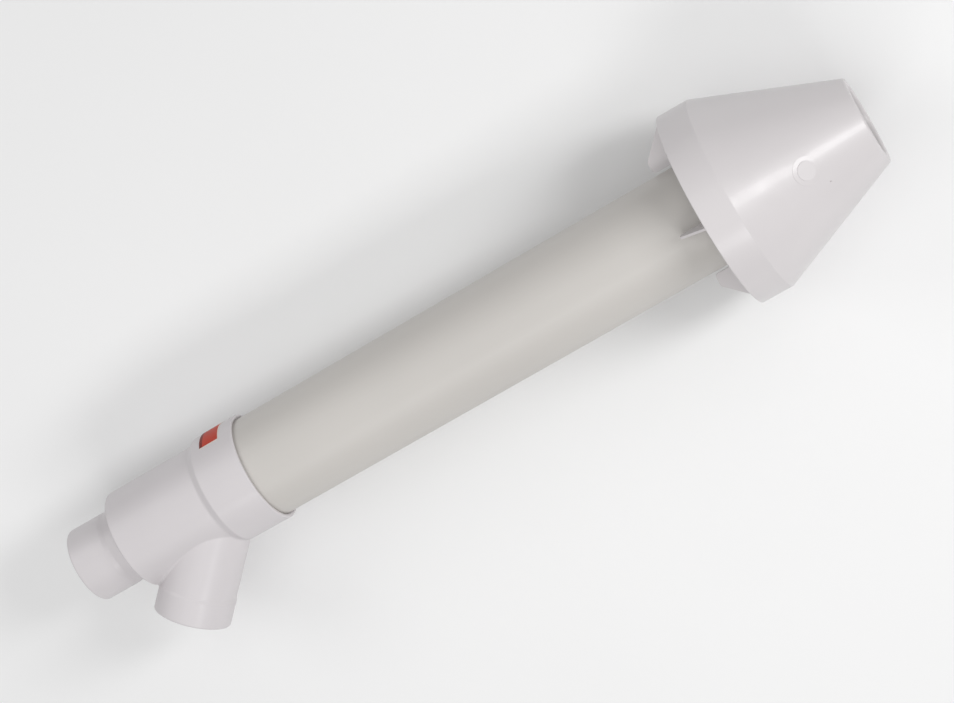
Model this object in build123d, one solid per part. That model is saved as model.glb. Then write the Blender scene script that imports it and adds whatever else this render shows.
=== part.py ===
from build123d import *
import math
import os

os.makedirs("parts", exist_ok=True)

# Concentric vent termination for a condensing boiler or furnace, millimetres.
# Origin: centre of the straight exhaust port's mouth. +X runs along the common
# axis to the tip of the rain cap, the intake branch leaves towards -X -Y, +Z is up.

# Standard pipe sizes and the fits on them
VENT_PIPE_OD = 60.3
VENT_PIPE_WALL = 2.3
AIR_PIPE_OD = 88.9
AIR_PIPE_WALL = 3.4
PIPE_EDGE_ROUND = 0.5
SLIP_FIT = 0.1
END_GAP = 0.3

# Walls of the moulded fittings
FITTING_WALL = 3.6
CAP_WALL = 3.0

# Exhaust hub: a port socket, a neck, and the socket that takes the vent pipe
HUB_OD = 66.4
HUB_NECK_OD = 65.0
PORT_DEPTH = 29.0
PORT_BODY_END = 32.0
PORT_TAPER = 4.0
HUB_SEAT_X = 51.0
HUB_END_X = 80.0
PORT_EDGE_ROUND = 1.7
PORT_STEP_ROUND = 3.0
NECK_ROUND = 3.0
HUB_END_ROUND = 0.8

# Wye body: end wall, barrel, shoulder and the socket that takes the air pipe
BARREL_START_X = 48.0
BARREL_END_X = 133.4
BARREL_OD = 88.8
END_WALL = 5.0
BARREL_EDGE_ROUND = 1.8
BARREL_END_ROUND = 4.0
SOCKET_START_X = 139.5
SOCKET_START_ROUND = 2.0
SOCKET_STOP_X = 141.0
SOCKET_RIM_X = 179.9
SOCKET_ROOT_OD = 96.2
SOCKET_RIM_OD = 96.8
SOCKET_LEAD_IN = 1.6
SOCKET_LEAD_IN_LENGTH = 2.0
SOCKET_RIM_ROUND = 1.2

# Intake branch, measured along its own axis from where that crosses the main axis
BRANCH_ANGLE = 45.0
BRANCH_ROOT_X = 138.0
BRANCH_LENGTH = 113.5
BRANCH_SOCKET_DEPTH = 22.0
BRANCH_NECK_OD = 64.8
BRANCH_SOCKET_OD = 66.2
BRANCH_INNER_START = 25.0
BRANCH_NECK_OVERRUN = 12.0
BRANCH_TAPER = 2.5
BRANCH_STEP_ROUND = 1.5
CROTCH_ROUND = 2.0

# Rain cap: skirt, cone, hub, four fins
SKIRT_RIM_X = 609.3
CREASE_X = 636.5
TIP_X = 749.9
SKIRT_OD = 168.6
TIP_OD = 74.1
OUTLET_MOUTH_OD = 60.4
SKIRT_RIM_ROUND = 0.9
SKIRT_INNER_ROUND = 0.6
CREASE_ROUND = 2.0
TIP_ROUND = 2.2
OUTLET_ROUND = 2.5
AIR_PIPE_END_X = 650.0
CAP_HUB_OD = 67.0
CAP_STOP_X = 737.0
CAP_STOP_LENGTH = 4.0
CAP_POCKET_END_X = 744.0
FIN_COUNT = 4
FIN_THICKNESS = 2.0
FIN_REACH = 23.9
FIN_PIPE_GAP = 2.45
FIN_FIRST_ANGLE = 98.0
FIN_NOSE_ROUND = 3.2

# Moulding marks on the cone: a flat gate disc on a low pad, and a pinhole.
# Heights are measured outwards from the cone's skin.
GATE_X = 695.0
GATE_ANGLE = 100.3
GATE_PAD_OD = 22.5
GATE_PAD_TOP = 0.3
GATE_DISC_OD = 15.0
GATE_DISC_TOP = 0.7
GATE_ROOT = -1.5
PINHOLE_X = 706.0
PINHOLE_ANGLE = 119.0
PINHOLE_OD = 1.3
PINHOLE_DEPTH = 0.8

# Label on the wye's socket; angles turn from +Y towards +Z
LABEL_START_X = 148.5
LABEL_WIDTH = 19.2
LABEL_FIRST_ANGLE = -6.0
LABEL_SWEEP = 45.0
LABEL_THICKNESS = 0.25

SOCKET_BORE_R = VENT_PIPE_OD / 2 + SLIP_FIT
VENT_BORE_R = VENT_PIPE_OD / 2 - VENT_PIPE_WALL
AIR_SOCKET_R = AIR_PIPE_OD / 2 + SLIP_FIT
OVERSHOOT = 2.0
CONE_SLOPE = (SKIRT_OD - TIP_OD) / 2 / (TIP_X - CREASE_X)
CONE_ANGLE = math.degrees(math.atan(CONE_SLOPE))
FIN_STEP_X = AIR_PIPE_END_X + END_GAP


def ring(points, rounds=(), sweep=360.0):
    """Solid turned about the main axis.

    points are (x, radius) corners; rounds are (x, radius, corner radius).
    """
    outline = make_face(Polyline(*points, close=True))
    for x, radius, corner in rounds:
        outline = fillet(outline.vertices().sort_by_distance((x, radius, 0))[0], corner)
    return revolve(outline, Axis.X, sweep)


def pipe(start_x, end_x, outer_d, wall):
    """Pipe along the main axis, with its outer end edges rounded."""
    outer_r, inner_r = outer_d / 2, outer_d / 2 - wall
    corners = [(start_x, inner_r), (start_x, outer_r), (end_x, outer_r), (end_x, inner_r)]
    return ring(corners, [(start_x, outer_r, PIPE_EDGE_ROUND), (end_x, outer_r, PIPE_EDGE_ROUND)])


def on_branch(shape):
    """Carries a shape turned about +X onto the branch's axis."""
    return Pos(BRANCH_ROOT_X, 0, 0) * Rot(0, 0, 180 + BRANCH_ANGLE) * shape


def around(angle, shape):
    """Turns a shape about the main axis, from +Y towards +Z."""
    return Rot(angle, 0, 0) * shape


def make_exhaust_hub():
    """Straight exhaust port and, inside the wye, the socket for the vent pipe."""
    hub_r, neck_r = HUB_OD / 2, HUB_NECK_OD / 2
    taper_end = PORT_BODY_END + PORT_TAPER
    corners = [
        (0, SOCKET_BORE_R), (0, hub_r), (PORT_BODY_END, hub_r), (taper_end, neck_r),
        (BARREL_START_X, neck_r), (BARREL_START_X, hub_r), (HUB_END_X, hub_r),
        (HUB_END_X, SOCKET_BORE_R), (HUB_SEAT_X, SOCKET_BORE_R), (HUB_SEAT_X, VENT_BORE_R),
        (PORT_DEPTH, VENT_BORE_R), (PORT_DEPTH, SOCKET_BORE_R),
    ]
    rounds = [
        (0, hub_r, PORT_EDGE_ROUND), (PORT_BODY_END, hub_r, PORT_STEP_ROUND),
        (taper_end, neck_r, NECK_ROUND), (HUB_END_X, hub_r, HUB_END_ROUND),
    ]
    return ring(corners, rounds)


def make_wye_body():
    """Barrel with its end wall, the air pipe's socket and the intake branch."""
    barrel_r, root_r, rim_r = BARREL_OD / 2, SOCKET_ROOT_OD / 2, SOCKET_RIM_OD / 2
    barrel = ring(
        [(BARREL_START_X, 0), (BARREL_START_X, barrel_r), (BARREL_END_X, barrel_r),
         (SOCKET_START_X, root_r), (SOCKET_RIM_X, rim_r), (SOCKET_RIM_X, 0)],
        [(BARREL_START_X, barrel_r, BARREL_EDGE_ROUND), (BARREL_END_X, barrel_r, BARREL_END_ROUND),
         (SOCKET_START_X, root_r, SOCKET_START_ROUND), (SOCKET_RIM_X, rim_r, SOCKET_RIM_ROUND)],
    )
    neck_r, port_r = BRANCH_NECK_OD / 2, BRANCH_SOCKET_OD / 2
    step = BRANCH_LENGTH - BRANCH_SOCKET_DEPTH
    neck_end = step + BRANCH_NECK_OVERRUN
    neck = on_branch(ring([
        (BRANCH_INNER_START, 0), (BRANCH_INNER_START, neck_r), (neck_end, neck_r), (neck_end, 0),
    ]))
    taper_start = step - BRANCH_TAPER
    collar = on_branch(ring(
        [(taper_start, 0), (taper_start, neck_r), (step, port_r), (BRANCH_LENGTH, port_r),
         (BRANCH_LENGTH, 0)],
        [(step, port_r, BRANCH_STEP_ROUND), (BRANCH_LENGTH, port_r, PORT_EDGE_ROUND)],
    ))
    body = fillet(crotch_edges(barrel + neck), CROTCH_ROUND) + collar

    bore_r = barrel_r - FITTING_WALL
    lead_in_r = AIR_SOCKET_R + SOCKET_LEAD_IN
    hollow = ring([
        (BARREL_START_X + END_WALL, 0), (BARREL_START_X + END_WALL, bore_r),
        (SOCKET_STOP_X, bore_r), (SOCKET_STOP_X, AIR_SOCKET_R),
        (SOCKET_RIM_X - SOCKET_LEAD_IN_LENGTH, AIR_SOCKET_R), (SOCKET_RIM_X, lead_in_r),
        (SOCKET_RIM_X + OVERSHOOT, lead_in_r), (SOCKET_RIM_X + OVERSHOOT, 0),
    ])
    hub_seat = ring([
        (BARREL_START_X - OVERSHOOT, 0), (BARREL_START_X - OVERSHOOT, HUB_OD / 2),
        (HUB_END_X, HUB_OD / 2), (HUB_END_X, 0),
    ])
    branch_bore_r = neck_r - FITTING_WALL
    branch_hollow = on_branch(ring([
        (BRANCH_INNER_START, 0), (BRANCH_INNER_START, branch_bore_r), (step, branch_bore_r),
        (step, SOCKET_BORE_R), (BRANCH_LENGTH + OVERSHOOT, SOCKET_BORE_R),
        (BRANCH_LENGTH + OVERSHOOT, 0),
    ]))
    return body - hollow - hub_seat - branch_hollow


def crotch_edges(body):
    """Edges where the branch's neck runs into the barrel, its shoulder and socket."""
    neck_r = BRANCH_NECK_OD / 2
    middle = Vector(BRANCH_ROOT_X, 0, 0)
    turn = math.radians(180 + BRANCH_ANGLE)
    along = Vector(math.cos(turn), math.sin(turn), 0)
    found = ShapeList()
    for edge in body.edges():
        samples = [edge.position_at(step / 8) for step in range(9)]
        reach = [(point - middle).dot(along) for point in samples]
        away = [((point - middle) - along * far).length for point, far in zip(samples, reach)]
        on_neck = all(abs(distance - neck_r) < 0.01 for distance in away)
        bent = max(reach) - min(reach) > 0.5
        straight = edge.geom_type == GeomType.LINE
        if on_neck and bent and not straight:
            found.append(edge)
    return found


def make_outer_pipe():
    """Air pipe, from the stop in the wye's socket to the fins inside the cap."""
    return pipe(SOCKET_STOP_X + END_GAP, AIR_PIPE_END_X, AIR_PIPE_OD, AIR_PIPE_WALL)


def make_inner_pipe():
    """Vent pipe, from the exhaust hub's seat to the stop inside the cap."""
    return pipe(HUB_SEAT_X + END_GAP, CAP_STOP_X - END_GAP, VENT_PIPE_OD, VENT_PIPE_WALL)


def cone_radius(x, depth=0.0):
    """Radius of the cone at x, on the surface that lies depth inside its skin."""
    return TIP_OD / 2 + CONE_SLOPE * (TIP_X - x) - depth * math.hypot(1, CONE_SLOPE)


def cone_skin(depth_out, depth_in):
    """Thin conical layer between two depths, under the moulding marks."""
    start_x, end_x = CREASE_X + CREASE_ROUND, TIP_X - TIP_ROUND
    return ring([
        (start_x, cone_radius(start_x, depth_out)), (end_x, cone_radius(end_x, depth_out)),
        (end_x, cone_radius(end_x, depth_in)), (start_x, cone_radius(start_x, depth_in)),
    ])


def on_cone(x, angle, diameter, low, high):
    """Cylinder square to the cone's skin at x, between two heights, turned to angle."""
    peg = Pos(0, (low + high) / 2, 0) * Rot(-90, 0, 0) * Cylinder(diameter / 2, high - low)
    return around(angle, Pos(x, cone_radius(x), 0) * Rot(0, 0, -CONE_ANGLE) * peg)


def make_fin():
    """Fin in the +Y half plane, from the cap's hub out through the skirt's mouth."""
    nose_x = SKIRT_RIM_X - FIN_REACH
    inner_r = AIR_PIPE_OD / 2 + FIN_PIPE_GAP
    nose_r = SKIRT_OD / 2 - CAP_WALL - FIN_REACH
    root_r = CAP_HUB_OD / 2 - CAP_WALL / 2
    skin = CAP_WALL / 2
    outline = make_face(Polyline(
        (nose_x, inner_r), (nose_x, nose_r), (SKIRT_RIM_X, SKIRT_OD / 2 - CAP_WALL),
        (SKIRT_RIM_X + skin, SKIRT_OD / 2 - skin), (CREASE_X, SKIRT_OD / 2 - skin),
        (CAP_POCKET_END_X, cone_radius(CAP_POCKET_END_X, skin)), (CAP_POCKET_END_X, root_r),
        (FIN_STEP_X, root_r), (FIN_STEP_X, inner_r), close=True,
    ))
    for corner in [(nose_x, inner_r, 0), (nose_x, nose_r, 0)]:
        outline = fillet(outline.vertices().sort_by_distance(corner)[0], FIN_NOSE_ROUND)
    return extrude(outline, FIN_THICKNESS / 2, both=True)


def make_rain_cap():
    """Cap in one moulding: skirt, cone, hub for the vent pipe and the fins."""
    skirt_r, tip_r = SKIRT_OD / 2, TIP_OD / 2
    inner_crease_x = CREASE_X - CAP_WALL * math.tan(math.radians(CONE_ANGLE / 2))
    stop_end_x = CAP_STOP_X + CAP_STOP_LENGTH
    corners = [
        (SKIRT_RIM_X, skirt_r), (CREASE_X, skirt_r), (TIP_X, tip_r),
        (TIP_X, OUTLET_MOUTH_OD / 2), (stop_end_x, VENT_BORE_R), (CAP_STOP_X, VENT_BORE_R),
        (CAP_STOP_X, SOCKET_BORE_R), (FIN_STEP_X, SOCKET_BORE_R), (FIN_STEP_X, CAP_HUB_OD / 2),
        (CAP_POCKET_END_X, CAP_HUB_OD / 2),
        (CAP_POCKET_END_X, cone_radius(CAP_POCKET_END_X, CAP_WALL)),
        (inner_crease_x, skirt_r - CAP_WALL), (SKIRT_RIM_X, skirt_r - CAP_WALL),
    ]
    rounds = [
        (SKIRT_RIM_X, skirt_r, SKIRT_RIM_ROUND), (SKIRT_RIM_X, skirt_r - CAP_WALL, SKIRT_INNER_ROUND),
        (CREASE_X, skirt_r, CREASE_ROUND), (TIP_X, tip_r, TIP_ROUND),
        (TIP_X, OUTLET_MOUTH_OD / 2, OUTLET_ROUND),
    ]
    cap = ring(corners, rounds)
    for index in range(FIN_COUNT):
        cap += around(FIN_FIRST_ANGLE + index * 360 / FIN_COUNT, make_fin())
    pad = on_cone(GATE_X, GATE_ANGLE, GATE_PAD_OD, GATE_ROOT, CAP_WALL)
    cap += pad & cone_skin(-GATE_PAD_TOP, CAP_WALL / 2)
    cap += on_cone(GATE_X, GATE_ANGLE, GATE_DISC_OD, GATE_ROOT, GATE_DISC_TOP)
    cap -= on_cone(PINHOLE_X, PINHOLE_ANGLE, PINHOLE_OD, -PINHOLE_DEPTH, CAP_WALL)
    return cap


def make_label():
    """Sticker wrapped on the wye's socket."""
    draft = (SOCKET_RIM_OD - SOCKET_ROOT_OD) / 2 / (SOCKET_RIM_X - SOCKET_START_X)
    end_x = LABEL_START_X + LABEL_WIDTH
    start_r = SOCKET_ROOT_OD / 2 + draft * (LABEL_START_X - SOCKET_START_X)
    end_r = SOCKET_ROOT_OD / 2 + draft * (end_x - SOCKET_START_X)
    sticker = ring([
        (LABEL_START_X, start_r), (end_x, end_r),
        (end_x, end_r + LABEL_THICKNESS), (LABEL_START_X, start_r + LABEL_THICKNESS),
    ], sweep=LABEL_SWEEP)
    return around(LABEL_FIRST_ANGLE, sticker)


PARTS = {
    "exhaust_hub": make_exhaust_hub,
    "wye_body": make_wye_body,
    "outer_pipe": make_outer_pipe,
    "inner_pipe": make_inner_pipe,
    "rain_cap": make_rain_cap,
    "label": make_label,
}

for node, make in PARTS.items():
    export_step(make(), f"parts/{node}.step")
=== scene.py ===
"""Concentric vent termination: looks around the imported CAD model, in metres."""
import math

import bpy
from mathutils import Matrix, Vector


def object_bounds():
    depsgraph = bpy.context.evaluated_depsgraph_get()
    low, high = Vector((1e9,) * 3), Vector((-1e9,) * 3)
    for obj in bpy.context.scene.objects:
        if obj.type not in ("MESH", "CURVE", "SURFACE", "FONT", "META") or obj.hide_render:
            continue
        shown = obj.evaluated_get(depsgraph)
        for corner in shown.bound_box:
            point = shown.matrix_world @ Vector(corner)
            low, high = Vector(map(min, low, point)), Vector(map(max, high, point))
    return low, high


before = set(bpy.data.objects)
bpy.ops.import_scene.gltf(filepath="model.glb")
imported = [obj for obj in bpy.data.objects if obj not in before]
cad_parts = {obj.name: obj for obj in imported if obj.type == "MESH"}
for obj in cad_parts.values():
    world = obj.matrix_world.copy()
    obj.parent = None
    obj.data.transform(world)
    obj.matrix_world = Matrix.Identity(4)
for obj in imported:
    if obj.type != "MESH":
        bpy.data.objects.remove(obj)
CAD_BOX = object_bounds()

# Camera: sensor and lens in millimetres, and its place over the pipes' common axis (+X)
SENSOR = 36.0
LENS = 91.35
CAMERA_TARGET = Vector((0.3870, -0.0057, 0.0))
CAMERA_DISTANCE = 1.9654
CAMERA_LEAN = math.radians(14.01)
CAMERA_ROLL = math.radians(29.76)

# Light rig: each soft box by its place, its size (the side nearest to X first) and its power.
# All face one point near the middle of the object.
RIG_CENTRE = Vector((0.42, 0.0, 0.0))
X_AXIS = Vector((1, 0, 0))
SOFT_BOXES = {
    "cap_side": {"place": (1.98, -0.16, 1.40), "size": (0.90, 0.40), "power": 15.0},
    "strip": {"place": (0.25, -1.47, 1.70), "size": (1.90, 0.50), "power": 13.0},
    "fill": {"place": (-0.70, 0.90, 1.20), "size": (0.90, 0.90), "power": 4.5},
    "overhead": {"place": (0.20, 0.00, 2.40), "size": (2.40, 2.00), "power": 14.0},
}
WORLD_COLOUR = (1, 1, 1, 1)
WORLD_STRENGTH = 0.32

# Floor: a pale plane, a gap below the lowest point of the object
FLOOR_SIZE = 12
FLOOR_CENTRE_X = 0.37
FLOOR_GAP = 0.0005
FLOOR_ROUGHNESS = 0.9
FLOOR_SPECULAR = 0.2
FLOOR_CLOUD_SCALE = 2.0
FLOOR_DARK = (0.9, 0.9, 0.9)
FLOOR_LIGHT = (0.92, 0.92, 0.92)

# Plastics: each look by its material's name, the two colours of its cloudy tone, its
# roughness and, where it is moulded, the weight of its coat
FITTING_LOOK = {
    "name": "fitting_pvc_look",
    "light": (0.685, 0.653, 0.666),
    "dark": (0.655, 0.624, 0.637),
    "roughness": 0.46,
    "coat": 0.12,
}
PIPE_LOOK = {
    "name": "pipe_pvc_look",
    "light": (0.612, 0.587, 0.558),
    "dark": (0.588, 0.564, 0.536),
    "roughness": 0.44,
}
CAP_LOOK = {
    "name": "cap_pvc_look",
    "light": (0.695, 0.665, 0.672),
    "dark": (0.672, 0.642, 0.649),
    "roughness": 0.33,
    "coat": 0.1,
}
SPECULAR = 0.5
COAT_ROUGHNESS = 0.1

# Noise: the middle of its range, which is stretched to a full swing, and its detail
NOISE_LOW = 0.3
NOISE_HIGH = 0.7
NOISE_DETAIL = 3.0
FLOW_DETAIL = 2.0
SKIN_DETAIL = 4.0

# Surfaces: noise scales, bump distances in metres, and the swing of the roughness
MOULDED_CLOUD_SCALE = 9.0
MOULDED_FLOW_SCALE = 38.0
MOULDED_FLOW_BUMP = 0.00025
MOULDED_SKIN_SCALE = 900.0
MOULDED_ROUGHER = 0.06
EXTRUDED_CLOUD_SCALE = 6.0
EXTRUDED_LINE_SCALE = 420.0
EXTRUDED_LINE_STRETCH = (0.004, 1, 1)
EXTRUDED_LINE_BUMP = 0.00006
EXTRUDED_SKIN_SCALE = 700.0
EXTRUDED_ROUGHER = 0.07
SMOOTHER = 0.05
SKIN_BUMP = 0.00003
BUMP_STRENGTH = 1.0

# Input and output sockets of the Mix node when it blends colours
MIX_FIRST = 6
MIX_SECOND = 7
MIX_RESULT = 2

# Label print: metres along X, degrees around it from +Y towards +Z.
# The dark band and the bars are measured along X from the label's start.
LABEL_START_X = 0.1485
LABEL_END_X = 0.1677
LABEL_BAND = 0.003
LABEL_BORDER = 0.0009
LABEL_PRINT_END_ANGLE = 37.9
# On its other two sides the print has no border, so it starts well outside the label
LABEL_PRINT_START_X = LABEL_START_X - 1
LABEL_PRINT_START_ANGLE = -90
LABEL_BARS = ((0.0060, 0.0080), (0.0098, 0.0118), (0.0136, 0.0150))
LABEL_BAR_ANGLES = (0.0, 9.0)
LABEL_EDGE = 0.00012
LABEL_EDGE_ANGLE = 0.15
LABEL_INK_LIGHT = (0.56, 0.050, 0.020)
LABEL_INK_DARK = (0.47, 0.038, 0.018)
LABEL_BAND_COLOUR = (0.20, 0.022, 0.014)
LABEL_BAR_COLOUR = (0.34, 0.20, 0.19)
LABEL_FILM_COLOUR = (0.74, 0.66, 0.60)
LABEL_ROUGHNESS = 0.5
LABEL_SPECULAR = 0.3
LABEL_CLOUD_SCALE = 60.0
LABEL_SKIN_SCALE = 800.0


def link(tree, source, target):
    tree.links.new(source, target)


def node(tree, kind, **settings):
    """Adds a shader node; settings name its attributes or its input sockets."""
    made = tree.nodes.new(kind)
    for name, value in settings.items():
        if hasattr(made, name):
            setattr(made, name, value)
        else:
            made.inputs[name.replace("_", " ")].default_value = value
    return made


def new_material(name, roughness, specular=SPECULAR, coat=0.0):
    """Material with a Principled shader, and its object coordinates to build on."""
    material = bpy.data.materials.new(name)
    material.use_nodes = True
    tree = material.node_tree
    shader = tree.nodes["Principled BSDF"]
    shader.inputs["Roughness"].default_value = roughness
    shader.inputs["Specular IOR Level"].default_value = specular
    shader.inputs["Coat Weight"].default_value = coat
    shader.inputs["Coat Roughness"].default_value = COAT_ROUGHNESS
    place = node(tree, "ShaderNodeTexCoord").outputs["Object"]
    return material, tree, shader, place


def noise(tree, place, scale, detail=NOISE_DETAIL, stretch=(1, 1, 1)):
    """Noise over object coordinates; stretch scales each axis."""
    mapping = node(tree, "ShaderNodeMapping")
    mapping.inputs["Scale"].default_value = stretch
    link(tree, place, mapping.inputs["Vector"])
    texture = node(tree, "ShaderNodeTexNoise", Scale=scale, Detail=detail)
    link(tree, mapping.outputs["Vector"], texture.inputs["Vector"])
    return texture.outputs["Fac"]


def ramp(tree, factor, low, high, low_value, high_value):
    """Maps factor from low..high to a grey value from low_value to high_value."""
    mapped = node(tree, "ShaderNodeMapRange")
    mapped.inputs["From Min"].default_value = low
    mapped.inputs["From Max"].default_value = high
    mapped.inputs["To Min"].default_value = low_value
    mapped.inputs["To Max"].default_value = high_value
    link(tree, factor, mapped.inputs["Value"])
    return mapped.outputs["Result"]


def blend_colours(tree, factor, first, second):
    """Colour between first and second by factor; either may be a socket or a colour."""
    mix = node(tree, "ShaderNodeMix", data_type="RGBA")
    link(tree, factor, mix.inputs["Factor"])
    for index, value in ((MIX_FIRST, first), (MIX_SECOND, second)):
        socket = mix.inputs[index]
        if isinstance(value, bpy.types.NodeSocket):
            link(tree, value, socket)
        else:
            socket.default_value = (*value, 1.0)
    return mix.outputs[MIX_RESULT]


def cloud(tree, place, scale):
    """Soft noise between 0 and 1."""
    return ramp(tree, noise(tree, place, scale), NOISE_LOW, NOISE_HIGH, 0.0, 1.0)


def tint(tree, shader, place, scale, dark, light):
    """Base colour that drifts between dark and light."""
    colour = blend_colours(tree, cloud(tree, place, scale), dark, light)
    link(tree, colour, shader.inputs["Base Color"])


def vary_roughness(tree, shader, factor, roughness, rougher):
    """Roughness that swings around its value with a noise."""
    swing = ramp(tree, factor, NOISE_LOW, NOISE_HIGH, roughness - SMOOTHER, roughness + rougher)
    link(tree, swing, shader.inputs["Roughness"])


def add_bump(tree, shader, height, distance, below=None):
    """Bump from a height socket, stacked on the bump below it."""
    bump = node(tree, "ShaderNodeBump", Strength=BUMP_STRENGTH, Distance=distance)
    link(tree, height, bump.inputs["Height"])
    if below:
        link(tree, below, bump.inputs["Normal"])
    link(tree, bump.outputs["Normal"], shader.inputs["Normal"])
    return bump.outputs["Normal"]


def moulded_pvc(name, light, dark, roughness, coat):
    """Injection-moulded white PVC: cloudy tone, faint flow and a fine skin."""
    material, tree, shader, place = new_material(name, roughness, coat=coat)
    tint(tree, shader, place, MOULDED_CLOUD_SCALE, dark, light)
    skin = noise(tree, place, MOULDED_SKIN_SCALE, detail=SKIN_DETAIL)
    flow = noise(tree, place, MOULDED_FLOW_SCALE, detail=FLOW_DETAIL)
    vary_roughness(tree, shader, flow, roughness, MOULDED_ROUGHER)
    ripple = add_bump(tree, shader, flow, MOULDED_FLOW_BUMP)
    add_bump(tree, shader, skin, SKIN_BUMP, below=ripple)
    return material


def extruded_pvc(name, light, dark, roughness):
    """Extruded white PVC pipe: draw lines along X over a semi-matte skin."""
    material, tree, shader, place = new_material(name, roughness)
    tint(tree, shader, place, EXTRUDED_CLOUD_SCALE, dark, light)
    lines = noise(tree, place, EXTRUDED_LINE_SCALE, stretch=EXTRUDED_LINE_STRETCH)
    skin = noise(tree, place, EXTRUDED_SKIN_SCALE, detail=SKIN_DETAIL)
    vary_roughness(tree, shader, lines, roughness, EXTRUDED_ROUGHER)
    drawn = add_bump(tree, shader, lines, EXTRUDED_LINE_BUMP)
    add_bump(tree, shader, skin, SKIN_BUMP, below=drawn)
    return material


def wrap_angle(tree, place):
    """Angle around the X axis in degrees, from +Y towards +Z; and the place along X."""
    parts = node(tree, "ShaderNodeSeparateXYZ")
    link(tree, place, parts.inputs["Vector"])
    angle = node(tree, "ShaderNodeMath", operation="ARCTAN2")
    link(tree, parts.outputs["Z"], angle.inputs[0])
    link(tree, parts.outputs["Y"], angle.inputs[1])
    degrees = node(tree, "ShaderNodeMath", operation="MULTIPLY")
    degrees.inputs[1].default_value = math.degrees(1)
    link(tree, angle.outputs["Value"], degrees.inputs[0])
    return degrees.outputs["Value"], parts.outputs["X"]


def stripe(tree, value, low, high, edge):
    """1 where value lies between low and high, with soft edges, else 0."""
    up = ramp(tree, value, low - edge, low + edge, 0.0, 1.0)
    down = ramp(tree, value, high - edge, high + edge, 1.0, 0.0)
    return times(tree, up, down)


def times(tree, first, second):
    """Product of two sockets."""
    product = node(tree, "ShaderNodeMath", operation="MULTIPLY")
    link(tree, first, product.inputs[0])
    link(tree, second, product.inputs[1])
    return product.outputs["Value"]


def label_film(name):
    """Sticker film: orange-red print with a pale border, a dark band and greyish bars."""
    material, tree, shader, place = new_material(name, LABEL_ROUGHNESS, specular=LABEL_SPECULAR)
    angle, along = wrap_angle(tree, place)
    ink = cloud(tree, place, LABEL_CLOUD_SCALE)
    print_colour = blend_colours(tree, ink, LABEL_INK_LIGHT, LABEL_INK_DARK)
    band = stripe(tree, along, LABEL_START_X, LABEL_START_X + LABEL_BAND, LABEL_EDGE)
    print_colour = blend_colours(tree, band, print_colour, LABEL_BAND_COLOUR)
    for low, high in LABEL_BARS:
        across = stripe(tree, along, LABEL_START_X + low, LABEL_START_X + high, LABEL_EDGE)
        bar = times(tree, across, stripe(tree, angle, *LABEL_BAR_ANGLES, LABEL_EDGE_ANGLE))
        print_colour = blend_colours(tree, bar, print_colour, LABEL_BAR_COLOUR)
    length = stripe(tree, along, LABEL_PRINT_START_X, LABEL_END_X - LABEL_BORDER, LABEL_EDGE)
    turn = stripe(tree, angle, LABEL_PRINT_START_ANGLE, LABEL_PRINT_END_ANGLE, LABEL_EDGE_ANGLE)
    inside = times(tree, length, turn)
    colour = blend_colours(tree, inside, LABEL_FILM_COLOUR, print_colour)
    link(tree, colour, shader.inputs["Base Color"])
    add_bump(tree, shader, noise(tree, place, LABEL_SKIN_SCALE), SKIN_BUMP)
    return material


def dress(nodes, material):
    """Gives CAD nodes a finished material."""
    for name in nodes:
        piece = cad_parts[name]
        piece.data.materials.clear()
        piece.data.materials.append(material)


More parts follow.
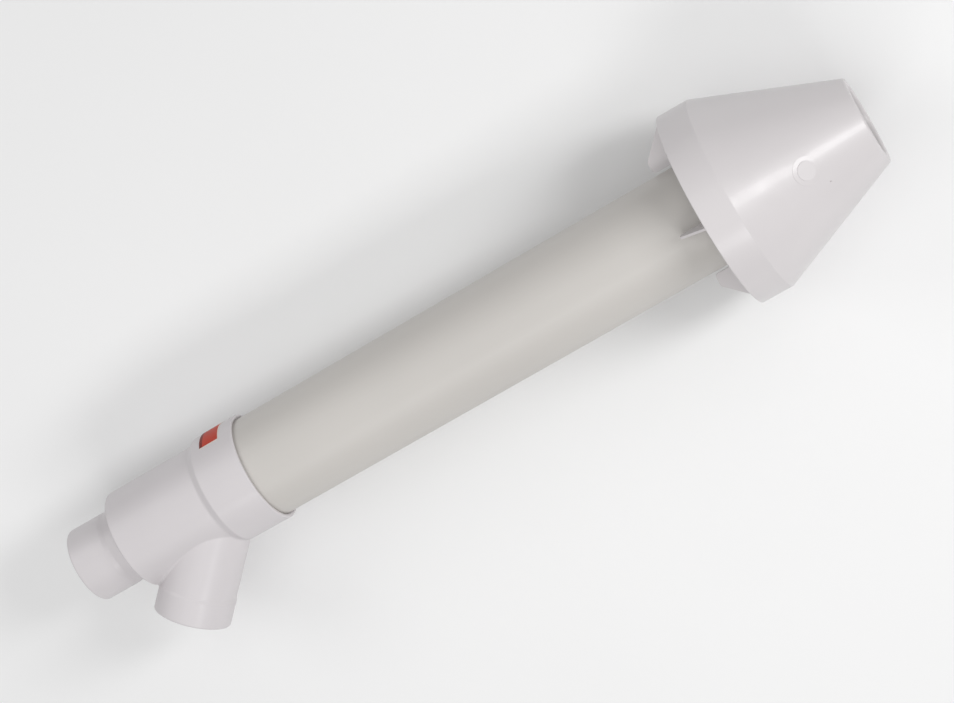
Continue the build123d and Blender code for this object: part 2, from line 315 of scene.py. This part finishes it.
def add_floor():
    """Plain pale floor under the lowest point of the object."""
    low = CAD_BOX[0][2]
    bpy.ops.mesh.primitive_plane_add(size=FLOOR_SIZE, location=(FLOOR_CENTRE_X, 0, low - FLOOR_GAP))
    floor = bpy.context.object
    floor.name = "floor"
    material, tree, shader, place = new_material("floor_paper", FLOOR_ROUGHNESS, FLOOR_SPECULAR)
    tint(tree, shader, place, FLOOR_CLOUD_SCALE, FLOOR_DARK, FLOOR_LIGHT)
    floor.data.materials.append(material)


def add_soft_box(name, place, size, power):
    """Rectangular area light that faces the object; its first side lies as near to X as it can."""
    data = bpy.data.lights.new(name, "AREA")
    data.energy = power
    data.shape = "RECTANGLE"
    data.size, data.size_y = size
    light = bpy.data.objects.new(name, data)
    backward = (Vector(place) - RIG_CENTRE).normalized()
    across = backward.cross(X_AXIS).normalized()
    turn = Matrix((across.cross(backward), across, backward)).transposed().to_4x4()
    light.matrix_world = Matrix.Translation(place) @ turn
    bpy.context.collection.objects.link(light)


def add_world():
    """Even white light from all sides."""
    world = bpy.data.worlds.new("studio")
    bpy.context.scene.world = world
    world.use_nodes = True
    background = world.node_tree.nodes["Background"]
    background.inputs["Color"].default_value = WORLD_COLOUR
    background.inputs["Strength"].default_value = WORLD_STRENGTH


def add_camera():
    """Camera above the axis, leaning towards the cap, rolled so that the pipe climbs to the right."""
    backward = Vector((math.sin(CAMERA_LEAN), 0, math.cos(CAMERA_LEAN)))
    level = Vector((math.cos(CAMERA_LEAN), 0, -math.sin(CAMERA_LEAN)))
    across = backward.cross(level)
    right = level * math.cos(CAMERA_ROLL) - across * math.sin(CAMERA_ROLL)
    up = level * math.sin(CAMERA_ROLL) + across * math.cos(CAMERA_ROLL)
    data = bpy.data.cameras.new("camera")
    data.sensor_width = SENSOR
    data.lens = LENS
    camera = bpy.data.objects.new("camera", data)
    turn = Matrix((right, up, backward)).transposed().to_4x4()
    camera.matrix_world = Matrix.Translation(CAMERA_TARGET + backward * CAMERA_DISTANCE) @ turn
    bpy.context.collection.objects.link(camera)
    bpy.context.scene.camera = camera


add_camera()
add_world()
for box_name, box in SOFT_BOXES.items():
    add_soft_box(box_name, **box)
bpy.context.scene.view_settings.view_transform = "Standard"
add_floor()

dress(["wye_body", "exhaust_hub"], moulded_pvc(**FITTING_LOOK))
dress(["outer_pipe", "inner_pipe"], extruded_pvc(**PIPE_LOOK))
dress(["rain_cap"], moulded_pvc(**CAP_LOOK))
dress(["label"], label_film("label_film_look"))
